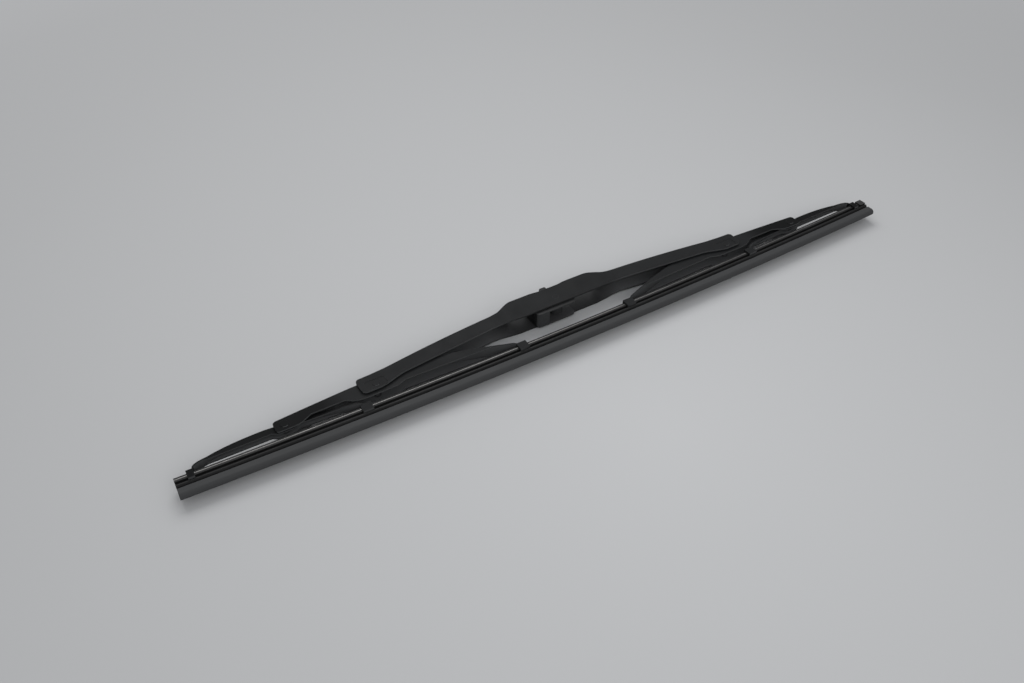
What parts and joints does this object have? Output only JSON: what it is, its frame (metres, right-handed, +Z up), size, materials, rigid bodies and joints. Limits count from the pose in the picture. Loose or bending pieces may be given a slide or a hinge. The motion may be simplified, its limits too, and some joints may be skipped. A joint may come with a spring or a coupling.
{
  "type": "wiper blade",
  "caption": "Bridge-type windscreen wiper blade with nested rocking steel levers, a hook adaptor on a cross pin, and a rubber squeegee under a clip-on lip guard.",
  "frame": {"origin": "centre of the cross pin, on the blade's mid-plane", "axes": "+X along the blade away from the latch's nose, +Y from the wiping lip towards the bridge's back, +Z up, across the blade's thickness"},
  "size_m": [0.509, 0.0507, 0.0138],
  "materials": {
    "black_paint": "matte",
    "black_plastic": "matte",
    "dark_steel": "satin",
    "rubber": "matte",
    "spring_steel": "satin",
    "grey_plastic": "satin"
  },
  "bodies": {
    "bridge": {"primary_lever": "black_paint", "cross_pin": "dark_steel", "rivet_primary_left": "dark_steel", "rivet_primary_right": "dark_steel", "squeegee": "rubber", "flexor_upper": "spring_steel", "flexor_lower": "spring_steel", "lip_guard": "grey_plastic", "end_clip": "dark_steel"},
    "secondary_left": {"secondary_lever_left": "black_paint", "liner_primary_left": "black_plastic", "rivet_yoke_left": "dark_steel"},
    "secondary_right": {"secondary_lever_right": "black_paint", "liner_primary_right": "black_plastic", "rivet_yoke_right": "dark_steel"},
    "outer_left": {"yoke_left": "black_paint", "liner_yoke_left": "black_plastic"},
    "outer_right": {"yoke_right": "black_paint", "liner_yoke_right": "black_plastic"},
    "adaptor": {"hook_adaptor": "black_plastic"}
  },
  "joints": [
    {"name": "secondary_left_rock", "type": "hinge", "parent": "bridge", "child": "secondary_left", "pos_m": [-0.132, -0.0115, 0], "axis": [0, 0, 1], "range_deg": [-1.5, 3.5], "stiffness_Nm_per_rad": 0.5, "deforming": ["squeegee", "flexor_upper", "flexor_lower", "lip_guard"]},
    {"name": "secondary_right_rock", "type": "hinge", "parent": "bridge", "child": "secondary_right", "pos_m": [0.132, -0.0115, 0], "axis": [0, 0, 1], "range_deg": [-3.5, 1.5], "stiffness_Nm_per_rad": 0.5, "deforming": ["squeegee", "flexor_upper", "flexor_lower", "lip_guard"]},
    {"name": "yoke_left_rock", "type": "hinge", "parent": "secondary_left", "child": "outer_left", "pos_m": [-0.18923, -0.0132, 0], "axis": [0, 0, 1], "range_deg": [-1.2, 2.6], "stiffness_Nm_per_rad": 0.3, "deforming": ["squeegee", "flexor_upper", "flexor_lower", "lip_guard"]},
    {"name": "yoke_right_rock", "type": "hinge", "parent": "secondary_right", "child": "outer_right", "pos_m": [0.18923, -0.0132, 0], "axis": [0, 0, 1], "range_deg": [-2.6, 1.2], "stiffness_Nm_per_rad": 0.3, "deforming": ["squeegee", "flexor_upper", "flexor_lower", "lip_guard"]},
    {"name": "adaptor_swivel", "type": "hinge", "parent": "bridge", "child": "adaptor", "pos_m": [0, 0, 0], "axis": [0, 0, 1], "range_deg": [-15, 35]}
  ],
  "couplings": [
    {"joint": "secondary_right_rock", "follows": "secondary_left_rock", "ratio": -1},
    {"joint": "yoke_left_rock", "follows": "secondary_left_rock", "ratio": 0.7},
    {"joint": "yoke_right_rock", "follows": "secondary_left_rock", "ratio": -0.7}
  ]
}
